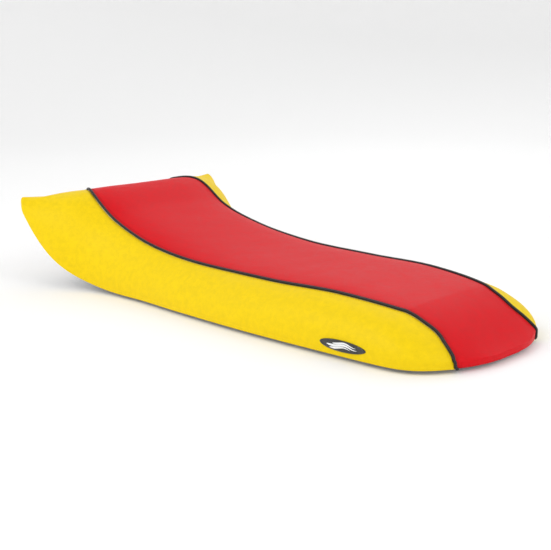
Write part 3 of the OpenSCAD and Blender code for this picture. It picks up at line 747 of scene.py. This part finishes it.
def blow_out(rest, pressure=4.0, cap=2.6 * MM, frames=20):
    """Cloth held along its border and pushed out from inside: its move off the form, capped.

    Every second row and column is simulated; the move is brought back to the full grid by straight
    lines between them and evened by a 1-2-1 mean along both ways.
    """
    scene = bpy.context.scene
    i = np.unique(np.append(np.arange(0, rest.shape[0], 2), rest.shape[0] - 1))
    j = np.unique(np.append(np.arange(0, rest.shape[1], 2), rest.shape[1] - 1))
    coarse = rest[np.ix_(i, j)]
    rows, cols = coarse.shape[:2]
    mesh = bpy.data.meshes.new("blown")
    mesh.from_pydata(coarse.reshape(-1, 3).tolist(), [], grid_quads(rows, cols).tolist())
    cloth = bpy.data.objects.new("blown", mesh)
    scene.collection.objects.link(cloth)
    border = np.ones((rows, cols), bool)
    border[1:-1, 1:-1] = False
    held = cloth.vertex_groups.new(name="held")
    held.add(np.flatnonzero(border.ravel()).tolist(), 1.0, "REPLACE")
    modifier = cloth.modifiers.new("cloth", "CLOTH")
    modifier.point_cache.frame_start, modifier.point_cache.frame_end = 1, frames
    cloth_settings = modifier.settings
    cloth_settings.quality = 5
    cloth_settings.mass = 0.3
    cloth_settings.vertex_group_mass = "held"
    cloth_settings.use_pressure = True
    cloth_settings.uniform_pressure_force = pressure
    cloth_settings.tension_stiffness = 40
    cloth_settings.compression_stiffness = 40
    cloth_settings.bending_stiffness = 2
    cloth_settings.effector_weights.gravity = 0
    for frame_number in range(1, frames + 1):
        scene.frame_set(frame_number)
    result = cloth.evaluated_get(bpy.context.evaluated_depsgraph_get()).data
    moved = np.empty(rows * cols * 3, np.float32)
    result.vertices.foreach_get("co", moved)
    moved = moved.reshape(coarse.shape).astype(float) - coarse
    bpy.data.objects.remove(cloth)
    scene.frame_set(1)
    down, across = np.gradient(coarse, axis=0), np.gradient(coarse, axis=1)
    out = np.sum(moved * unit(np.cross(down, across)), axis=-1)
    out = cap * np.tanh(out / cap)
    full = np.array([np.interp(np.arange(rest.shape[0]), i, column) for column in out.T]).T
    full = np.array([np.interp(np.arange(rest.shape[1]), j, row) for row in full])
    for _ in range(2):
        full[1:-1] = (full[:-2] + 2 * full[1:-1] + full[2:]) / 4
        full[:, 1:-1] = (full[:, :-2] + 2 * full[:, 1:-1] + full[:, 2:]) / 4
    return full


def panel(form, rows_f, low, high, cols, centre, margin):
    """Cover panel between two section angles, with end walls down to the lower edge.

    Outside: skin + normal x (relief + waviness + cloth's move, beyond a margin from the border),
    which fades to nothing at the foot. Inside: the same, a cover's thickness in. The centre panel
    has a seam along both sides and a wall at the nose; a side panel has one seam and no such wall.
    """
    s = form.s
    fade, foot_share = 35 * MM, 0.4
    share = np.linspace(0, 1, cols)[None, :]
    wall = 1 - np.cos(np.linspace(0, np.pi / 2, 13))[:-1]
    f = np.concatenate([np.full(len(wall), rows_f[0]), rows_f])
    climb = np.concatenate([wall, np.ones(len(rows_f))])
    if centre:
        f = np.concatenate([f, np.full(len(wall), rows_f[-1])])
        climb = np.concatenate([climb, wall[::-1]])
    f, climb = f[:, None], climb[:, None]
    a = low(f) + (high(f) - low(f)) * share
    base = form.skin(f, a, 0.0, climb)
    run = np.linalg.norm(np.diff(base, axis=1), axis=-1)
    travelled = np.concatenate([np.zeros((len(f), 1)), np.cumsum(run, axis=1)], axis=1)
    total = travelled[:, -1:]
    rim = np.minimum(travelled, total - travelled)
    beyond_seam = (f - SEAM_END) * s.length * centre
    edge = np.maximum(rim if centre else total - travelled, 2 * beyond_seam)
    normal = form.normal(np.broadcast_to(f, a.shape), a)
    lift = relief(edge, s.puff) + waviness(base, edge)
    lift = lift + blow_out(base) * soft_step((rim - margin) / fade)
    height = climb * (1 + np.minimum(0, np.minimum(a, 180 - a)) / BAND_ANGLE)
    lift = lift * soft_step(height / foot_share)
    outer = base + normal * lift[..., None]
    inner = form.skin(f, a, s.cover_thickness, climb) + normal * lift[..., None]
    points, quads = shell(outer, inner)
    seam = np.concatenate([edge.ravel(), edge.ravel()])
    return points, quads, {"seam": seam}


def panel_edge(form, f, direction):
    """Section angle of a panel's cut edge: the seam set off square to itself.

    The furthest of the half circles of the gap's radius whose centres lie along the seam. Places
    along it go by the skin's length there, so the gap keeps its width on the nose's slope.
    """
    gap = SEAM_GAP * form.s.piping_diameter
    middle, df = form.seam(f), 1e-3
    f1, f2 = np.clip(f - df, -0.5, 0.5), np.clip(f + df, -0.5, 0.5)
    length = np.linalg.norm(form.skin(f2, middle) - form.skin(f1, middle), axis=-1) / (f2 - f1)
    edge = np.full(np.shape(f), -np.inf)
    for share in np.linspace(-1, 1, 17):
        place = f + share * gap / length
        seam = form.seam(place)
        reach = form.degrees_for(f, seam, gap * math.sqrt(1 - share**2))
        edge = np.maximum(edge, direction * seam + reach)
    return np.maximum(-BAND_ANGLE, direction * edge)


class SEAT_OT_cover(Operator):
    """Sew the centre panel and the two side panels"""

    bl_idname = "seat.cover"
    bl_label = "Cover panels"

    def execute(self, context):
        sizes, _ = settings(context)
        form = Form(sizes)
        past = SEAM_END + SEAM_GAP * sizes.piping_diameter / sizes.length

        def low(f):
            """Right-hand edge of the centre panel: beside the seam, and the foot ahead of it."""
            return np.where(f >= past, -BAND_ANGLE, panel_edge(form, f, 1))

        main = along_length(-0.5, SEAM_DROP_START, 220)
        nose = np.concatenate([
            np.linspace(SEAM_DROP_START, past, 50)[1:],
            past + (0.5 - past) * np.sin(np.linspace(0, np.pi / 2, 22))[1:],
        ])
        points, faces, marks = panel(
            form, np.concatenate([main, nose]), low,
            lambda f: 180 - low(f), 110, True, 9 * MM,
        )
        centre = mesh_object("centre_cover", points, faces, "seat", marks)
        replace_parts(paint(centre, "red vinyl"), "centre_panel")

        dense = np.linspace(SEAM_DROP_START, SEAM_END, 400)
        tip = dense[np.argmax(panel_edge(form, dense, -1) <= -BAND_ANGLE + 1)]
        rows = np.concatenate([main, np.linspace(SEAM_DROP_START, tip, 30)[1:]])
        points, faces, marks = panel(
            form, rows, lambda f: np.full_like(f, -BAND_ANGLE),
            lambda f: np.maximum(panel_edge(form, f, -1), -BAND_ANGLE + 0.05),
            60, False, 28 * MM,
        )
        for side, name, node in (
            (1, "right_cover", "right_side_panel"), (-1, "left_cover", "left_side_panel"),
        ):
            placed = points * (1, side, 1)
            piece = mesh_object(name, placed, faces, "seat", marks)
            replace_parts(paint(piece, "yellow vinyl"), node)
        return {"FINISHED"}


def seam_route(form, depth, offset=0.0):
    """The right-hand seam from the tail's foot over the seat to the nose's foot, and its normals."""
    tip = SEAM_END - 0.0008
    f = np.concatenate([
        along_length(-0.5, SEAM_DROP_START, 320),
        np.linspace(SEAM_DROP_START, tip, 50)[1:],
    ])
    a = form.seam(f)
    a = a + offset / MM * form.degrees_for(f, a, MM) if offset else a
    points = form.skin(f, a, depth)
    return f, a, points, form.normal(f, a)


class SEAT_OT_piping(Operator):
    """Lay the round welt into both seams"""

    bl_idname = "seat.piping"
    bl_label = "Piping"

    def execute(self, context):
        sizes, _ = settings(context)
        form = Form(sizes)
        radius = sizes.piping_diameter / 2
        _, _, points, normal = seam_route(form, -0.3 * MM)
        wall = np.linspace(0.8 * MM, sizes.edge_band, 8)[:-1]
        foot = points[:1] + np.stack([0 * wall, 0 * wall, wall - sizes.edge_band], -1)
        path = np.concatenate([foot, points])
        guide = np.concatenate([np.repeat(normal[:1], len(foot), 0), normal])
        stations = np.concatenate([[0], np.cumsum(np.linalg.norm(np.diff(path, axis=0), axis=1))])
        pull = 0.05 * MM * np.sin(2 * np.pi * stations / sizes.stitch_pitch)
        ends = np.minimum(stations, stations[-1] - stations)
        size = (radius + pull) * np.sqrt(1 - np.clip(1 - ends / radius, 0, 0.98) ** 2)
        points, faces = tube(path, size, guide)
        for side, name, node in ((1, "right_welt", "right_piping"), (-1, "left_welt", "left_piping")):
            piece = mesh_object(name, points * (1, side, 1), faces, "seat", sharp=60)
            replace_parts(paint(piece, "piping vinyl"), node)
        return {"FINISHED"}


def stitch_row(form, offset):
    """One row of stitches beside the right-hand seam, as points and faces.

    Each stitch is a bent capsule: radius r sqrt(1 - t^2), lifted by 1 - t^2 between its holes.
    """
    s = form.s
    f, a, points, normal = seam_route(form, 0.0, offset)
    keep = (f > -0.4985) & (f < 0.457)
    f, a, points, normal = f[keep], a[keep], points[keep], normal[keep]
    run = np.concatenate([[0], np.cumsum(np.linalg.norm(np.diff(points, axis=0), axis=1))])
    centres = np.arange(s.stitch_pitch, run[-1] - s.stitch_pitch, s.stitch_pitch)
    spot = np.stack([np.interp(centres, run, points[:, k]) for k in range(3)], -1)
    up = unit(np.stack([np.interp(centres, run, normal[:, k]) for k in range(3)], -1))
    ahead = unit(np.stack([np.interp(centres, run, g) for g in np.gradient(points, axis=0).T], -1))
    beside = unit(np.cross(up, ahead))
    dip = relief(np.array(abs(offset) - s.piping_diameter / 2), s.puff)
    t = np.array([-1, -0.9, -0.6, -0.2, 0.2, 0.6, 0.9, 1.0])
    sides = 6
    turn = np.linspace(0, 2 * np.pi, sides, endpoint=False)
    half, thick = s.stitch_pitch * 0.37, 0.36 * MM
    width = thick * np.sqrt(np.maximum(0.02, 1 - t**2))
    x = np.repeat(half * t, sides)
    y = (width[:, None] * np.cos(turn)).ravel()
    z = (width[:, None] * np.sin(turn) + (0.3 * MM * (1 - t**2) - 0.05 * MM)[:, None]).ravel() + dip
    body = (
        spot[:, None] + x[None, :, None] * ahead[:, None]
        + y[None, :, None] * beside[:, None] + z[None, :, None] * up[:, None]
    )
    quads = grid_quads(len(t), sides, 0, wrap_cols=True)
    ends = np.array([np.arange(sides), np.arange(sides)[::-1] + (len(t) - 1) * sides])
    count = len(centres)
    step = (np.arange(count) * len(t) * sides)[:, None, None]
    quads, ends = quads[None] + step, ends[None] + step
    return body.reshape(-1, 3), quads.reshape(-1, 4), ends.reshape(-1, sides)


class SEAT_OT_stitching(Operator):
    """Run a row of stitches along both sides of each seam"""

    bl_idname = "seat.stitching"
    bl_label = "Stitching"

    def execute(self, context):
        sizes, _ = settings(context)
        form = Form(sizes)
        rows = (
            ("centre_stitches", sizes.stitch_inset, "red thread", "red_vinyl"),
            ("side_stitches", -sizes.stitch_inset, "yellow thread", "yellow_vinyl"),
        )
        for name, offset, finish, slot in rows:
            points, quads, ends = stitch_row(form, offset)
            mirrored = points * (1, -1, 1)
            both = np.concatenate([points, mirrored])
            shift = len(points)
            faces = quads.tolist() + ends.tolist()
            faces += (quads[:, ::-1] + shift).tolist() + (ends[:, ::-1] + shift).tolist()
            paint(mesh_object(name, both, faces, "seat", sharp=80), finish)
        return {"FINISHED"}


class Badge:
    """Oval on the right-hand side panel; its points are given in shares of its half axes."""

    place, rise = 0.315, 4.4

    def __init__(self, form):
        self.form = form
        s = form.s
        self.long = s.badge_length / 2 / s.length
        self.tall = form.degrees_for(np.array(self.place), np.array(self.rise), s.badge_height / 2)

    def point(self, s, t, lift):
        """Point at s along and t up the oval, a height above the cover."""
        f = self.place + s * self.long
        a = self.rise + t * self.tall
        return self.form.skin(f, a) + self.form.normal(f, a) * np.asarray(lift)[..., None]

    def body(self):
        """Low dome with a raised rim: lift by the distance r from the middle."""
        r = np.concatenate([
            np.linspace(0.001, 0.8, 10), np.linspace(0.83, 1, 14), [1.0, 0.9, 0.001]
        ])
        lift = (1.5 + 0.5 * (1 - r**2)) * MM + 0.5 * MM * np.exp(-(((r - 0.93) / 0.035) ** 2))
        lift = lift * np.sqrt(1 - np.clip((r - 0.95) / 0.052, 0, 1) ** 2)
        lift[-3:] = 0.15 * MM
        t = np.linspace(0, 2 * np.pi, 72, endpoint=False)
        along, up = r[:, None] * np.cos(t), r[:, None] * np.sin(t)
        return capped(self.point(along, up, np.broadcast_to(lift[:, None], along.shape)))

    def stroke(self, centre, reach, shift, weight):
        """Raised wave: t = centre + two sines of s, half width fading to nothing at both ends."""
        s = np.linspace(-1, 1, 60)
        along = shift + reach * s
        middle = centre + 0.17 * np.sin(2 * np.pi * (0.95 * along + 0.2)) + 0.05 * np.sin(9 * along)
        half = weight * np.sqrt(np.maximum(0.002, 1 - s**2)) * (1.15 - 0.5 * s)
        turn = np.linspace(0, 2 * np.pi, 12, endpoint=False)
        t = middle[:, None] + half[:, None] * np.cos(turn)
        lift = 2.05 * MM + 0.45 * MM * np.sin(turn) * np.sqrt(np.maximum(0.01, 1 - s**2))[:, None]
        return capped(self.point(np.broadcast_to(along[:, None], t.shape), t, lift))


class SEAT_OT_badge(Operator):
    """Fix the oval badge and its raised wave emblem to the right-hand panel"""

    bl_idname = "seat.badge"
    bl_label = "Badge"

    def execute(self, context):
        sizes, _ = settings(context)
        badge = Badge(Form(sizes))
        points, faces = badge.body()
        plate = mesh_object("badge_plate", points, faces, "seat", sharp=50)
        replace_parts(paint(plate, "badge black"), "side_badge")
        # centre up the oval, reach along it, shift along it, half width
        strokes = ((0.34, 0.5, 0.1, 0.13), (-0.03, 0.66, 0.0, 0.16), (-0.4, 0.44, -0.08, 0.12))
        points, faces = [], []
        for stroke in strokes:
            p, q = badge.stroke(*stroke)
            start = sum(len(x) for x in points)
            faces += [[k + start for k in face] for face in q]
            points.append(p)
        emblem = mesh_object("badge_emblem", np.concatenate(points), faces, "seat")
        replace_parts(paint(emblem, "badge white"), "badge_waves")
        return {"FINISHED"}


class SEAT_OT_facing(Operator):
    """Fold the cover's lower edge under the pan, gathered at the corners"""

    bl_idname = "seat.facing"
    bl_label = "Folded facing"

    def execute(self, context):
        """A strip round the plan: pleats are the product of two sines, deeper inwards."""
        sizes, _ = settings(context)
        form = Form(sizes)
        f = along_length(-0.5, 0.5, 200)
        nose = np.linspace(-1, 1, 24)[1:-1]
        tail = np.linspace(1, -1, 90)[1:-1]
        place = np.concatenate(
            [f, np.full(len(nose), 0.5), f[::-1], np.full(len(tail), -0.5)]
        )[:, None]
        side = np.concatenate([np.full(len(f), -1.0), nose, np.full(len(f), 1.0), tail])[:, None]
        inset, tuck, thickness = 3.3 * MM, 0.6 * MM, 1.8 * MM
        across = np.linspace(0, 1, 14)[None, :]
        depth = inset + sizes.facing_width * across
        gather = np.clip((np.abs(place) - 0.36) / 0.1, 0.12, 1)
        step = np.arange(len(place))[:, None]
        pleat = gather * across * (0.5 + 0.5 * np.sin(step * 1.15) * np.sin(step * 0.37))
        ragged = 1 + 0.04 * np.sin(step * 0.9) * np.sin(step * 0.23) * across

        def sheet(z):
            """The strip's points at a height, set in from the plan's outline by their depth."""
            x = place * (sizes.length - 2 * depth * ragged)
            y = side * np.maximum(MM, form.half_width(place) - depth * ragged)
            return form.bend(x, y, z)

        tucked = tuck * (1 - soft_step((depth - 4.5 * MM) / (3 * MM)))
        under = sheet(tucked - 0.45 * MM * pleat)
        points, quads = shell(under, sheet(thickness - 0.3 * MM * pleat), wrap_rows=True)
        edge = np.minimum(across, 1 - across) * sizes.facing_width + 4 * MM
        edge = np.broadcast_to(edge, pleat.shape).ravel()
        marks = {"seam": np.concatenate([edge, edge])}
        piece = mesh_object("folded_facing", points, quads, "seat", marks)
        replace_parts(paint(piece, "facing vinyl"), "hem_facing")
        return {"FINISHED"}


class SEAT_OT_foam(Operator):
    """Put the foam under the cover"""

    bl_idname = "seat.foam"
    bl_label = "Foam"

    def execute(self, context):
        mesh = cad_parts["foam_cushion"].data
        work = bmesh.new()
        work.from_mesh(mesh)
        bmesh.ops.remove_doubles(work, verts=work.verts, dist=1e-6)
        copy = bpy.data.meshes.new("foam_bun")
        work.to_mesh(copy)
        work.free()
        copy.materials.clear()
        piece = bpy.data.objects.new("foam_bun", copy)
        context.scene.collection.objects.link(piece)
        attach(piece, "seat")
        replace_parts(paint(piece, "seat foam"), "foam_cushion")
        return {"FINISHED"}


class SEAT_OT_stage(Operator):
    """Set the floor, the lights and the camera"""

    bl_idname = "seat.stage"
    bl_label = "Stage"

    def execute(self, context):
        """The floor is a flat disc that turns up all round on a quarter circle into a wall."""
        scene = context.scene
        scene.view_settings.view_transform = "Standard"
        sizes, looks = settings(context)
        floor = cad_low.z
        flat, bow_radius, wall_top = 3.0, 2.5, 4.5
        turn = np.linspace(0, 2 * np.pi, 96, endpoint=False)[None, :]
        bow = np.linspace(0, np.pi / 2, 24)
        radius = np.concatenate(
            [[0.001, 1.0, 2.0], flat + bow_radius * np.sin(bow), [flat + bow_radius]]
        )[:, None]
        rise = np.concatenate([[0, 0, 0], bow_radius * (1 - np.cos(bow)), [wall_top]])[:, None]
        x, y = radius * np.cos(turn), radius * np.sin(turn)
        bowl = np.stack(np.broadcast_arrays(x, y, floor + rise), -1)
        quads = grid_quads(*x.shape, 0, wrap_cols=True)
        mesh = bpy.data.meshes.new("floor")
        mesh.from_pydata(bowl.reshape(-1, 3).tolist(), [], quads.tolist())
        mesh.polygons.foreach_set("use_smooth", np.ones(len(mesh.polygons), bool))
        ground = bpy.data.objects.new("floor", mesh)
        scene.collection.objects.link(ground)
        paint(ground, "studio paper")

        world = bpy.data.worlds.new("studio")
        world.use_nodes = True
        background = world.node_tree.nodes["Background"]
        background.inputs["Color"].default_value = (1.0, 1.0, 1.0, 1.0)
        background.inputs["Strength"].default_value = 0.62
        scene.world = world

        # name, place, diameter in metres, watts
        lights = (
            ("key", (-0.8, -2.8, 2.6), 2.6, 46.0),
            ("fill", (2.9, 0.3, 2.0), 2.4, 20.0),
            ("rim", (-1.2, 2.4, 2.4), 2.4, 18.0),
        )
        for name, place, size, power in lights:
            light = bpy.data.lights.new(name, "AREA")
            light.shape = "DISK"
            light.size = size
            light.energy = power
            lamp = bpy.data.objects.new(name, light)
            lamp.location = place
            aim = -np.array(place)
            lamp.rotation_euler = (
                math.atan2(math.hypot(aim[0], aim[1]), -aim[2]), 0.0, math.atan2(-aim[0], aim[1])
            )
            scene.collection.objects.link(lamp)

        camera = bpy.data.cameras.new("camera")
        camera.sensor_width = 36.0
        camera.lens = camera.sensor_width * VIEW_FOCAL / VIEW_WIDTH
        eye = bpy.data.objects.new("camera", camera)
        eye.location = [share * sizes.length for share in VIEW_PLACE]
        eye.location.z += sizes.pad_stand
        eye.rotation_euler = (math.radians(90 - VIEW_DOWN), 0.0, math.radians(VIEW_TURN))
        scene.collection.objects.link(eye)
        scene.camera = eye
        return {"FINISHED"}


class SEAT_PT_panel(Panel):
    """Buttons and settings of the seat"""

    bl_idname = "SEAT_PT_panel"
    bl_label = "Watercraft Seat"
    bl_space_type = "VIEW_3D"
    bl_region_type = "UI"
    bl_category = "Seat"

    def draw(self, context):
        for group in settings(context):
            box = self.layout.box()
            for key in group.__annotations__:
                box.prop(group, key)
        for operator in OPERATORS:
            self.layout.operator(operator.bl_idname)


OPERATORS = (
    SEAT_OT_finishes,
    SEAT_OT_foam,
    SEAT_OT_cover,
    SEAT_OT_piping,
    SEAT_OT_stitching,
    SEAT_OT_badge,
    SEAT_OT_facing,
    SEAT_OT_stage,
)
CLASSES = (SeatSizes, SeatLooks, *OPERATORS, SEAT_PT_panel)


def register():
    for cls in CLASSES:
        bpy.utils.register_class(cls)
    bpy.types.Scene.seat_sizes = PointerProperty(type=SeatSizes)
    bpy.types.Scene.seat_looks = PointerProperty(type=SeatLooks)


def unregister():
    del bpy.types.Scene.seat_looks
    del bpy.types.Scene.seat_sizes
    for cls in reversed(CLASSES):
        bpy.utils.unregister_class(cls)


def main():
    """Makes every piece in order."""
    register()
    bpy.ops.seat.finishes()
    bpy.ops.seat.foam()
    bpy.ops.seat.cover()
    bpy.ops.seat.piping()
    bpy.ops.seat.stitching()
    bpy.ops.seat.badge()
    bpy.ops.seat.facing()
    bpy.ops.seat.stage()
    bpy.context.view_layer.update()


if __name__ == "__main__":
    main()
